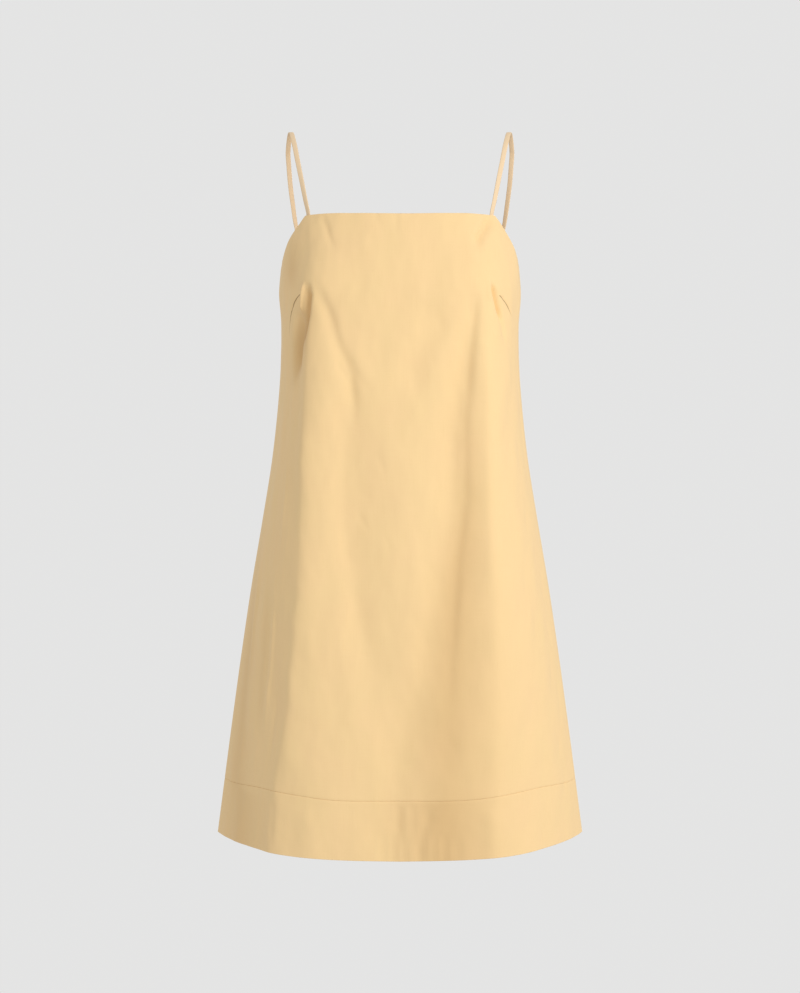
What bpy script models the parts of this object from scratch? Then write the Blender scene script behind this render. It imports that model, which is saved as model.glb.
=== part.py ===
"""Spaghetti strap dress: a short A-line dress with a straight neckline, bust darts and a hem band.

The dress hangs filled out, as it does when worn. Sizes are in metres, +Z is up, the front faces -Y
and the wearer's left is towards +X. The origin lies midway between the undersides of the two
straps, where they cross the shoulders, and a drop is a distance below that level.
A turn is an angle in degrees round the body: 0 at the centre front, 90 at the side seam on the
wearer's left, 180 at the centre back and -90 or 270 at the side seam on the wearer's right.
"""

import bisect
import math
from collections import namedtuple

import bmesh
import bpy
from mathutils import Vector

PART_NAME = "spaghetti_strap_dress"

# Cloth and seams
CLOTH_THICKNESS = 0.0014
SEAM_GAP = 0.0003

# Drops of the edges
NECK_CORNER_DROP = 0.112
NECK_DIP = 0.0035
UNDERARM_DROP = 0.172
BACK_CORNER_DROP = 0.140
BACK_DIP = 0.003

# The tables of sections and folds run down to here, just below the hem
LOWEST_DROP = 0.870

# The hem isn't quite level. A turn here is from the centre front or the centre back.
HemLine = namedtuple("HemLine", "turn seam_drop hem_drop")
HEM_LINES = (
    HemLine(0.0, 0.7990, 0.8676),
    HemLine(20.0, 0.7987, 0.8666),
    HemLine(36.0, 0.7945, 0.8658),
    HemLine(50.0, 0.7932, 0.8648),
    HemLine(70.0, 0.7980, 0.8656),
    HemLine(90.0, 0.7992, 0.8656),
)

# Cloth that stands out also hangs less low: its lift for each metre out, from the waist to the hem
WAIST_DROP = 0.450
HEM_LIFT = 0.23

# Turns of the corners, where the straps are sewn in
FRONT_CENTRE = 0.0
NECK_CORNER_TURN = 58.3
SIDE_TURN = 90.0
BACK_CORNER_TURN = 117.8
BACK_CENTRE = 180.0

# How the armhole's edge falls from a corner: mostly straight, and level where it meets the side seam
ARMHOLE_LEVELLING = 0.25
ARMHOLE_LEVELLING_POWER = 5

# Straps: flat tubes of the same cloth, sewn inside the corners
STRAP_WIDTH = 0.0060
STRAP_THICKNESS = 0.0018
STRAP_EDGE_ROUNDING = 0.0005
STRAP_SEWN_LENGTH = 0.014
STRAP_SEWN_GAP = 0.0007
STRAP_SEWN_INSET = CLOTH_THICKNESS + STRAP_SEWN_GAP + STRAP_THICKNESS / 2
STRAP_FRONT_TURN = 57.0
STRAP_BACK_TURN = 118.6
STRAP_STEPS = 38

# Faces across and down each piece: columns from seam to corner, between the corners, and to the seam
FRONT_COLUMNS = (8, 32, 8)
BACK_COLUMNS = (6, 20, 6)
FRONT_ROWS = 34
BACK_ROWS = 26
BAND_ROWS = 4
ROW_CROWDING = 1.25
COLUMN_TOLERANCE = 1e-6

SHARP_ANGLE = math.radians(50.0)

COTTON_COLOUR = (0.87, 0.62, 0.33, 1.0)
COTTON_ROUGHNESS = 0.85

# The filled-out body of the dress, level by level: |x / half_width| ** front_power plus
# |y / depth| ** side_power is 1. Two powers of 2 are an ellipse, a higher front_power is flatter
# across the front and the back, and a lower side_power pinches the cloth at the side seams.
Section = namedtuple("Section", "drop half_width front_depth back_depth front_power side_power")
SECTIONS = (
    Section(0.112, 0.1340, 0.092, 0.086, 2.60, 2.30),
    Section(0.140, 0.1436, 0.103, 0.090, 2.70, 2.20),
    Section(0.172, 0.1474, 0.115, 0.092, 3.00, 2.10),
    Section(0.200, 0.1493, 0.122, 0.093, 3.40, 1.95),
    Section(0.235, 0.1470, 0.123, 0.093, 4.00, 1.80),
    Section(0.270, 0.1470, 0.124, 0.094, 4.60, 1.65),
    Section(0.320, 0.1496, 0.126, 0.097, 4.90, 1.50),
    Section(0.400, 0.1580, 0.128, 0.104, 4.90, 1.35),
    Section(0.480, 0.1707, 0.132, 0.111, 4.70, 1.25),
    Section(0.560, 0.1842, 0.137, 0.118, 4.40, 1.18),
    Section(0.650, 0.1976, 0.142, 0.125, 4.00, 1.12),
    Section(0.740, 0.2099, 0.147, 0.131, 3.70, 1.08),
    Section(LOWEST_DROP, 0.2268, 0.153, 0.139, 3.40, 1.05),
)

# The fullness that the darts shape at the bust
Cup = namedtuple("Cup", "turn drop height turn_spread drop_spread")
CUPS = (
    Cup(-40.0, 0.193, 0.006, 13.0, 0.034),
    Cup(40.0, 0.193, 0.006, 13.0, 0.034),
)

# Flutes stand out and have a height above 0. Valleys and hollows sink in and have one below 0.
# A spread is the half width in degrees towards lower turns and towards higher turns.
Fold = namedtuple(
    "Fold",
    "top bottom turn_top turn_middle turn_bottom height_top height_middle height_bottom "
    "spread_low spread_high",
)
FOLDS = (
    Fold(0.185, LOWEST_DROP, -43.9, -39.7, -39.7, 0.0, 0.0055, 0.0040, 5.5, 9.5),
    Fold(0.196, 0.325, -46.5, -51.5, -55.5, 0.0, -0.0080, 0.0, 4.5, 3.5),
    Fold(0.280, 0.770, -22.4, -19.7, -3.2, 0.0, -0.0045, 0.0, 6.0, 9.0),
    Fold(0.300, 0.745, 2.0, 2.4, 1.4, 0.0, 0.0045, 0.0, 11.5, 9.5),
    Fold(0.225, LOWEST_DROP, 34.2, 14.0, -1.3, 0.0, -0.0050, -0.0070, 7.5, 9.0),
    Fold(0.200, LOWEST_DROP, 42.1, 35.9, 29.3, 0.0, 0.0110, 0.0110, 7.0, 9.5),
    Fold(0.198, 0.275, 45.5, 51.5, 57.5, 0.0, -0.0028, 0.0, 4.0, 4.0),
    Fold(0.240, LOWEST_DROP, 138.0, 138.0, 137.0, 0.0, 0.0060, 0.0070, 10.0, 10.0),
    Fold(0.200, LOWEST_DROP, 180.0, 178.0, 177.0, 0.0, -0.0040, -0.0050, 14.0, 14.0),
    Fold(0.240, LOWEST_DROP, 223.0, 222.0, 221.0, 0.0, 0.0055, 0.0070, 10.0, 11.0),
)

# The strap on the wearer's left, between its sewn ends. A facing is the angle in degrees from +X,
# seen from above, along which the strap's width lies.
StrapPoint = namedtuple("StrapPoint", "x y z facing")
STRAP_ROUTE = (
    StrapPoint(0.1140, -0.0545, -0.0930, 36.0),
    StrapPoint(0.1188, -0.0500, -0.0690, 26.0),
    StrapPoint(0.1240, -0.0420, -0.0440, 16.0),
    StrapPoint(0.1297, -0.0260, -0.0172, 6.0),
    StrapPoint(0.1358, 0.0010, STRAP_THICKNESS / 2, 0.0),
    StrapPoint(0.1407, 0.0270, -0.0164, -4.0),
    StrapPoint(0.1404, 0.0365, -0.0333, -8.0),
    StrapPoint(0.1390, 0.0440, -0.0554, -16.0),
    StrapPoint(0.1363, 0.0485, -0.0783, -26.0),
    StrapPoint(0.1322, 0.0512, -0.1064, -38.0),
)
SEWN_FRONT_FACING = 45.0
SEWN_BACK_FACING = -48.0


def blend_rows(rows, knots, value):
    """Blend the rows of a table smoothly, at a value between the knots that its rows belong to."""
    index = min(max(bisect.bisect_right(knots, value) - 1, 0), len(rows) - 2)
    step = knots[index + 1] - knots[index]
    share = (value - knots[index]) / step

    def slope(place, column):
        before, after = max(place - 1, 0), min(place + 1, len(rows) - 1)
        return (rows[after][column] - rows[before][column]) / (knots[after] - knots[before])

    blended = []
    for column in range(len(rows[0])):
        start, end = rows[index][column], rows[index + 1][column]
        blended.append(
            start * (1 + 2 * share) * (1 - share) ** 2
            + end * (3 - 2 * share) * share ** 2
            + step * slope(index, column) * share * (1 - share) ** 2
            - step * slope(index + 1, column) * share ** 2 * (1 - share)
        )
    return type(rows[0])(*blended)


def section_at(drop):
    """The body's section at a drop."""
    return blend_rows(SECTIONS, [section.drop for section in SECTIONS], drop)


def ease(share):
    """A share from 0 to 1 that starts and ends gently."""
    share = min(max(share, 0.0), 1.0)
    return share * share * (3.0 - 2.0 * share)


def turn_between(turn, other):
    """The turn from another turn to this one, the short way round."""
    return (turn - other + 180.0) % 360.0 - 180.0


def bell(distance, spread):
    """A soft hump, 1 high at distance 0."""
    return math.exp(-((distance / spread) ** 2))


def fold_rise(fold, turn, drop):
    """How far one fold moves the cloth out at a place."""
    down = (drop - fold.top) / (fold.bottom - fold.top)
    if not 0.0 <= down <= 1.0:
        return 0.0
    crest = (
        fold.turn_top * (1 - down) * (1 - 2 * down)
        + fold.turn_middle * 4 * down * (1 - down)
        + fold.turn_bottom * down * (2 * down - 1)
    )
    height = (
        fold.height_top
        + (fold.height_middle - fold.height_top) * ease(2 * down)
        + (fold.height_bottom - fold.height_middle) * ease(2 * down - 1)
    )
    away = turn_between(turn, crest)
    return height * bell(away, fold.spread_low if away < 0 else fold.spread_high)


def cup_rise(cup, turn, drop):
    """How far one cup moves the cloth out at a place."""
    across = bell(turn_between(turn, cup.turn), cup.turn_spread)
    down = bell(drop - cup.drop, cup.drop_spread)
    return cup.height * across * down


def cloth_rise(turn, drop):
    """How far the cups and all the folds move the cloth out at a place."""
    cups = sum(cup_rise(cup, turn, drop) for cup in CUPS)
    folds = sum(fold_rise(fold, turn, drop) for fold in FOLDS)
    return cups + folds


def cloth_point(turn, drop, inset=0.0):
    """The point on the cloth's outer face at a turn and a drop, moved in by the inset."""
    section = section_at(drop)
    depth = -section.front_depth if abs(turn) <= SIDE_TURN else section.back_depth
    across = math.sin(math.radians(turn))
    along = max(0.0, 1.0 - abs(across) ** section.front_power) ** (1.0 / section.side_power)
    sideways = section.front_power * abs(across) ** (section.front_power - 1.0) / section.half_width
    forwards = section.side_power * along ** (section.side_power - 1.0) / abs(depth)
    outward = Vector((math.copysign(sideways, across), math.copysign(forwards, depth), 0.0)).normalized()
    rise = cloth_rise(turn, drop)
    below_waist = min(max((drop - WAIST_DROP) / (LOWEST_DROP - WAIST_DROP), 0.0), 1.0)
    lifted = HEM_LIFT * below_waist * rise - drop
    on_section = Vector((section.half_width * across, depth * along, lifted))
    return on_section + outward * (rise - inset)


def armhole_fall(share):
    """The share of the armhole's depth that its edge has fallen, from a corner to the side seam."""
    levelling = ARMHOLE_LEVELLING * share ** ARMHOLE_LEVELLING_POWER
    return (1.0 + ARMHOLE_LEVELLING) * share - levelling


def top_edge(turn):
    """The drop of the dress's top edge: neckline, armhole, or the top of the back."""
    around = abs(turn_between(turn, FRONT_CENTRE))
    if around <= NECK_CORNER_TURN:
        to_corner = around / NECK_CORNER_TURN
        return NECK_CORNER_DROP + NECK_DIP * (1.0 - ease(to_corner))
    if around <= SIDE_TURN:
        to_side = (around - NECK_CORNER_TURN) / (SIDE_TURN - NECK_CORNER_TURN)
        return NECK_CORNER_DROP + (UNDERARM_DROP - NECK_CORNER_DROP) * armhole_fall(to_side)
    if around <= BACK_CORNER_TURN:
        to_side = (BACK_CORNER_TURN - around) / (BACK_CORNER_TURN - SIDE_TURN)
        return BACK_CORNER_DROP + (UNDERARM_DROP - BACK_CORNER_DROP) * armhole_fall(to_side)
    to_centre = (around - BACK_CORNER_TURN) / (BACK_CENTRE - BACK_CORNER_TURN)
    return BACK_CORNER_DROP + BACK_DIP * ease(to_centre)


def hem_line_at(turn):
    """The drops of the hem seam and of the hem at a turn."""
    around = abs(turn_between(turn, FRONT_CENTRE))
    from_centre = min(around, BACK_CENTRE - around)
    return blend_rows(HEM_LINES, [line.turn for line in HEM_LINES], from_centre)


def turn_at(stops, counts, share):
    """The turn of a column at a share of the way across a piece that has stops at its corners."""
    place = share * sum(counts)
    for start, end, count in zip(stops, stops[1:], counts):
        if place <= count + COLUMN_TOLERANCE:
            return start + (end - start) * place / count
        place -= count
    return stops[-1]


def mapped_grid(name, columns, rows, place, thickness=0.0):
    """A mesh grid whose points go where place(across, down, inset) says, the first two from 0 to 1.

    With a thickness, the grid is extruded to an inner face at that inset, which closes it to a wall.
    """
    grid = bmesh.new()
    bmesh.ops.create_grid(grid, x_segments=columns, y_segments=rows, size=1.0)
    inner = set()
    if thickness:
        extruded = bmesh.ops.extrude_face_region(grid, geom=grid.faces[:], use_keep_orig=True)
        inner.update(part for part in extruded["geom"] if isinstance(part, bmesh.types.BMVert))
    for vert in grid.verts:
        inset = thickness if vert in inner else 0.0
        vert.co = place((vert.co.x + 1.0) / 2.0, (1.0 - vert.co.y) / 2.0, inset)
    if thickness:
        bmesh.ops.recalc_face_normals(grid, faces=grid.faces[:])
    mesh = bpy.data.meshes.new(name)
    grid.to_mesh(mesh)
    grid.free()
    return mesh


def cotton(name):
    """The dress's plain woven cotton, one material for each piece."""
    material = bpy.data.materials.new(name + "_cotton")
    material.use_nodes = True
    shader = material.node_tree.nodes["Principled BSDF"]
    shader.inputs["Base Color"].default_value = COTTON_COLOUR
    shader.inputs["Roughness"].default_value = COTTON_ROUGHNESS
    shader.inputs["Metallic"].default_value = 0.0
    return material


def sewing_piece(name, mesh, collection):
    """An object with its own cotton, in the dress's collection."""
    piece = bpy.data.objects.new(name, mesh)
    collection.objects.link(piece)
    mesh.materials.append(cotton(name))
    mesh.shade_smooth()
    mesh.set_sharp_from_angle(angle=SHARP_ANGLE)
    return piece


def body_piece(name, stops, counts, rows, crowding, top, bottom, collection):
    """A panel or a band: cloth from one side seam to the other, between its top and bottom edges."""
    facing = -1.0 if stops[0] < 0 else 1.0
    off_seam = Vector((0.0, facing * SEAM_GAP / 2, 0.0))

    def place(across, down, inset):
        turn = turn_at(stops, counts, across)
        upper, lower = top(turn), bottom(turn)
        return cloth_point(turn, upper + (lower - upper) * down ** crowding, inset) + off_seam

    mesh = mapped_grid(name, sum(counts), rows, place, CLOTH_THICKNESS)
    return sewing_piece(name, mesh, collection)


def panel(name, stops, counts, rows, collection):
    """A front or back panel, from the top edge to the hem seam. Its rows crowd at the bust."""
    def bottom(turn):
        return hem_line_at(turn).seam_drop - SEAM_GAP / 2

    return body_piece(name, stops, counts, rows, ROW_CROWDING, top_edge, bottom, collection)


def hem_band(name, stops, counts, collection):
    """A front or back hem band, from the hem seam to the hem."""
    def seam(turn):
        return hem_line_at(turn).seam_drop + SEAM_GAP / 2

    def hem(turn):
        return hem_line_at(turn).hem_drop

    return body_piece(name, stops, counts, BAND_ROWS, 1.0, seam, hem, collection)


def sewn_points(turn, corner_drop, facing):
    """The sewn end of a strap: points just inside the cloth, from the edge down."""
    points = []
    for share in (0.0, 0.5, 1.0):
        drop = corner_drop + STRAP_SEWN_LENGTH * share
        points.append(StrapPoint(*cloth_point(turn, drop, STRAP_SEWN_INSET), facing))
    return points


def strap_route():
    """The whole route of the strap on the wearer's left, from its front end to its back end."""
    front = sewn_points(STRAP_FRONT_TURN, top_edge(STRAP_FRONT_TURN), SEWN_FRONT_FACING)
    back = sewn_points(STRAP_BACK_TURN, top_edge(STRAP_BACK_TURN), SEWN_BACK_FACING)
    return front[::-1] + list(STRAP_ROUTE) + back


def strap(name, side, collection):
    """A shoulder strap: a flat ribbon along its route. The side is 1 for the wearer's left, else -1."""
    route = strap_route()
    lengths = [0.0]
    for point, following in zip(route, route[1:]):
        lengths.append(lengths[-1] + (Vector(following[:3]) - Vector(point[:3])).length)
    step = lengths[-1] / STRAP_STEPS

    def place(across, down, _inset):
        length = down * lengths[-1]
        point = blend_rows(route, lengths, length)
        ahead = Vector(blend_rows(route, lengths, min(length + step / 2, lengths[-1]))[:3])
        behind = Vector(blend_rows(route, lengths, max(length - step / 2, 0.0))[:3])
        direction = (ahead - behind).normalized()
        width = Vector((math.cos(math.radians(point.facing)), math.sin(math.radians(point.facing)), 0.0))
        width = (width - direction * width.dot(direction)).normalized()
        on_left = Vector(point[:3]) + width * STRAP_WIDTH * (across - 0.5)
        return Vector((side * on_left.x, on_left.y, on_left.z))

    ribbon = sewing_piece(name, mapped_grid(name, 1, STRAP_STEPS, place), collection)
    tube = ribbon.modifiers.new("flat tube", "SOLIDIFY")
    tube.thickness = STRAP_THICKNESS
    tube.offset = 0.0
    rounding = ribbon.modifiers.new("rounded edges", "BEVEL")
    rounding.width = STRAP_EDGE_ROUNDING
    rounding.segments = 1
    rounding.limit_method = "ANGLE"
    rounding.angle_limit = SHARP_ANGLE
    return ribbon


def clear_scene():
    """Remove whatever the file holds."""
    for leftover in list(bpy.data.objects):
        bpy.data.objects.remove(leftover, do_unlink=True)


def build_dress():
    """Build every piece of the dress in one collection."""
    collection = bpy.data.collections.new(PART_NAME)
    bpy.context.scene.collection.children.link(collection)
    front_stops = (-SIDE_TURN, -NECK_CORNER_TURN, NECK_CORNER_TURN, SIDE_TURN)
    back_stops = (SIDE_TURN, BACK_CORNER_TURN, 360.0 - BACK_CORNER_TURN, 360.0 - SIDE_TURN)
    panel("front_panel", front_stops, FRONT_COLUMNS, FRONT_ROWS, collection)
    panel("back_panel", back_stops, BACK_COLUMNS, BACK_ROWS, collection)
    hem_band("front_hem_band", front_stops, FRONT_COLUMNS, collection)
    hem_band("back_hem_band", back_stops, BACK_COLUMNS, collection)
    strap("left_strap", 1.0, collection)
    strap("right_strap", -1.0, collection)


clear_scene()
build_dress()
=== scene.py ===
"""The dressed model of the spaghetti strap dress: its cloth, sewing, folds and cotton.

Sizes are in metres. A turn is an angle in degrees round the body: 0 at the centre front, 90 at the
side seam on the wearer's left, 180 at the centre back, and -90 or 270 at the other side seam. A drop
is a distance below the undersides of the straps at the shoulders. A facing is -1 for the front and 1
for the back.
"""

import math

import bpy
import numpy as np
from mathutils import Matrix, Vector, noise


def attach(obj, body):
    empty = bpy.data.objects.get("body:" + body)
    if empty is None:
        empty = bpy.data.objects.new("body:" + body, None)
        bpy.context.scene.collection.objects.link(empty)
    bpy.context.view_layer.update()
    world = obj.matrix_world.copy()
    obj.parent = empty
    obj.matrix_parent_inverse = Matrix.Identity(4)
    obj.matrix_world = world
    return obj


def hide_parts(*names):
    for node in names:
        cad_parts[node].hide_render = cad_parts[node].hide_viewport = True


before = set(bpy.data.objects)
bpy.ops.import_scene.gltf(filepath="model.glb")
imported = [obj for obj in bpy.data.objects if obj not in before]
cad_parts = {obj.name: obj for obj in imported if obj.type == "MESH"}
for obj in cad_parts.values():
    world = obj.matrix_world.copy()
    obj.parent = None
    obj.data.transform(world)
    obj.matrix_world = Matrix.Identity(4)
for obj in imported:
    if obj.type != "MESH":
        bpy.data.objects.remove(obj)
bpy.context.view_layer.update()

# The body of the dress, level by level: drop, half width, depth in front, depth behind, and the two
# powers that flatten the front and pinch the side seams. The solids have the same levels.
LEVELS = (
    (0.112, 0.1340, 0.092, 0.086, 2.60, 2.30),
    (0.140, 0.1436, 0.103, 0.090, 2.70, 2.20),
    (0.172, 0.1474, 0.115, 0.092, 3.00, 2.10),
    (0.200, 0.1493, 0.122, 0.093, 3.40, 1.95),
    (0.235, 0.1470, 0.123, 0.093, 4.00, 1.80),
    (0.270, 0.1470, 0.124, 0.094, 4.60, 1.65),
    (0.320, 0.1496, 0.126, 0.097, 4.90, 1.50),
    (0.400, 0.1580, 0.128, 0.104, 4.90, 1.35),
    (0.480, 0.1707, 0.132, 0.111, 4.70, 1.25),
    (0.560, 0.1842, 0.137, 0.118, 4.40, 1.18),
    (0.650, 0.1976, 0.142, 0.125, 4.00, 1.12),
    (0.740, 0.2099, 0.147, 0.131, 3.70, 1.08),
    (0.870, 0.2268, 0.153, 0.139, 3.40, 1.05),
)

# Edges and seams
NECK_CORNER_DROP, NECK_DIP = 0.112, 0.0035
BACK_CORNER_DROP, BACK_DIP = 0.140, 0.003
UNDERARM_DROP = 0.172
SIDE_TURN, NECK_CORNER_TURN, BACK_CORNER_TURN = 90.0, 58.3, 117.8
CLOTH_THICKNESS = 0.0014

# An armhole falls evenly from its corner and levels out towards the underarm
ARMHOLE_LEVELLING, ARMHOLE_LEVELLING_POWER = 0.25, 5

# Seams: how close the sewn edges lie, and the soft groove that the stitches pull in
SEAM_GAP = 0.00006
GROOVE_DEPTH, GROOVE_SPREAD = 0.00030, 0.0011

# The hem, which isn't quite level: turn from the centre front or back, drop of its seam, its drop
HEM_LINES = (
    (0.0, 0.7990, 0.8676), (20.0, 0.7987, 0.8666), (36.0, 0.7945, 0.8658),
    (50.0, 0.7932, 0.8648), (70.0, 0.7980, 0.8656), (90.0, 0.7992, 0.8656),
)

# Cloth that stands out also hangs less low: its lift for each metre out, from the waist to the hem
WAIST_DROP, LOWEST_DROP, HEM_LIFT = 0.450, 0.870, 0.23

# Soft crumples all over the cloth: how high, how wide and how tall. They fade out at the side seams.
# Each side of the dress, and each size of crumple, takes its own layer of the noise.
CRUMPLES = ((0.0014, 0.026, 0.050), (0.00040, 0.011, 0.018))
CRUMPLE_FADE = 0.030
SIDE_LAYER, SIZE_LAYER = 3.0, 100.0

# Folds. Each has the rounding of its crest, then stations down its length: drop, how far the crest
# lies to the wearer's left of the centre line, height, and how far it spreads towards the lower and
# towards the higher turns. A valley has a height below 0.
FRONT_FOLDS = (
    # flute below the wearer's right bust
    (0.003, ((0.185, -0.102, 0.0, 0.012, 0.030), (0.223, -0.102, 0.0030, 0.012, 0.030),
             (0.269, -0.1035, 0.0060, 0.012, 0.030), (0.316, -0.1050, 0.0072, 0.012, 0.030),
             (0.362, -0.1070, 0.0080, 0.013, 0.030), (0.431, -0.1090, 0.0080, 0.015, 0.030),
             (0.500, -0.1110, 0.0075, 0.016, 0.030), (0.569, -0.1135, 0.0075, 0.016, 0.030),
             (0.639, -0.1190, 0.0080, 0.016, 0.034), (0.708, -0.1245, 0.0085, 0.016, 0.036),
             (0.777, -0.1375, 0.0085, 0.018, 0.042), (0.810, -0.1410, 0.0080, 0.016, 0.042),
             (0.870, -0.1470, 0.0075, 0.016, 0.042))),
    # flute below the wearer's left bust
    (0.004, ((0.185, 0.1040, 0.0, 0.026, 0.026), (0.223, 0.1030, 0.0042, 0.024, 0.026),
             (0.269, 0.1000, 0.0075, 0.017, 0.028), (0.316, 0.1000, 0.0088, 0.015, 0.030),
             (0.362, 0.1000, 0.0090, 0.015, 0.030), (0.431, 0.1015, 0.0100, 0.015, 0.030),
             (0.500, 0.1035, 0.0105, 0.015, 0.030), (0.569, 0.1070, 0.0110, 0.018, 0.030),
             (0.639, 0.1100, 0.0115, 0.024, 0.030), (0.708, 0.1090, 0.0120, 0.030, 0.030),
             (0.777, 0.1070, 0.0120, 0.034, 0.030), (0.870, 0.1065, 0.0110, 0.034, 0.030))),
    # gentle flute near the centre
    (0.012, ((0.300, 0.005, 0.0, 0.035, 0.030), (0.361, 0.004, 0.0015, 0.035, 0.030),
             (0.431, 0.005, 0.0040, 0.036, 0.030), (0.500, 0.007, 0.0045, 0.036, 0.030),
             (0.569, 0.009, 0.0040, 0.034, 0.028), (0.639, 0.013, 0.0030, 0.030, 0.026),
             (0.700, 0.010, 0.0010, 0.030, 0.030), (0.745, 0.005, 0.0, 0.030, 0.030))),
    # valley between the flute below the right bust and the centre
    (0.004, ((0.280, -0.056, 0.0, 0.018, 0.008), (0.315, -0.058, -0.0020, 0.018, 0.010),
             (0.361, -0.0626, -0.0045, 0.018, 0.020), (0.431, -0.0626, -0.0062, 0.018, 0.032),
             (0.500, -0.0600, -0.0062, 0.018, 0.034), (0.547, -0.0540, -0.0058, 0.018, 0.028),
             (0.593, -0.0450, -0.0052, 0.018, 0.024), (0.639, -0.0360, -0.0042, 0.018, 0.022),
             (0.686, -0.0280, -0.0030, 0.018, 0.022), (0.732, -0.0186, -0.0015, 0.018, 0.022),
             (0.770, -0.0120, 0.0, 0.018, 0.022))),
    # valley beside the flute below the left bust, which runs to the centre of the hem
    (0.004, ((0.225, 0.083, 0.0, 0.020, 0.009), (0.269, 0.074, -0.0030, 0.020, 0.010),
             (0.315, 0.065, -0.0040, 0.020, 0.010), (0.361, 0.0626, -0.0040, 0.021, 0.012),
             (0.408, 0.060, -0.0045, 0.022, 0.012), (0.454, 0.058, -0.0045, 0.022, 0.014),
             (0.500, 0.051, -0.0045, 0.022, 0.016), (0.547, 0.044, -0.0050, 0.022, 0.022),
             (0.593, 0.035, -0.0050, 0.024, 0.026), (0.639, 0.028, -0.0060, 0.026, 0.028),
             (0.686, 0.016, -0.0060, 0.028, 0.032), (0.732, 0.005, -0.0065, 0.030, 0.036),
             (0.778, -0.002, -0.0070, 0.032, 0.038), (0.870, -0.005, -0.0070, 0.034, 0.040))),
)
BACK_FOLDS = (
    (0.020, ((0.240, 0.100, 0.0, 0.030, 0.030), (0.500, 0.115, 0.0060, 0.030, 0.030),
             (0.870, 0.150, 0.0070, 0.035, 0.035))),
    (0.020, ((0.200, 0.000, 0.0, 0.030, 0.030), (0.500, 0.006, -0.0040, 0.035, 0.035),
             (0.870, 0.012, -0.0050, 0.040, 0.040))),
    (0.020, ((0.240, -0.100, 0.0, 0.030, 0.030), (0.500, -0.114, 0.0055, 0.030, 0.030),
             (0.870, -0.147, 0.0070, 0.035, 0.035))),
)

# Cups at the bust: turn, drop, height, spread in turn, spread in drop
CUPS = ((-40.0, 0.193, 0.006, 13.0, 0.034), (40.0, 0.193, 0.006, 13.0, 0.034))

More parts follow.
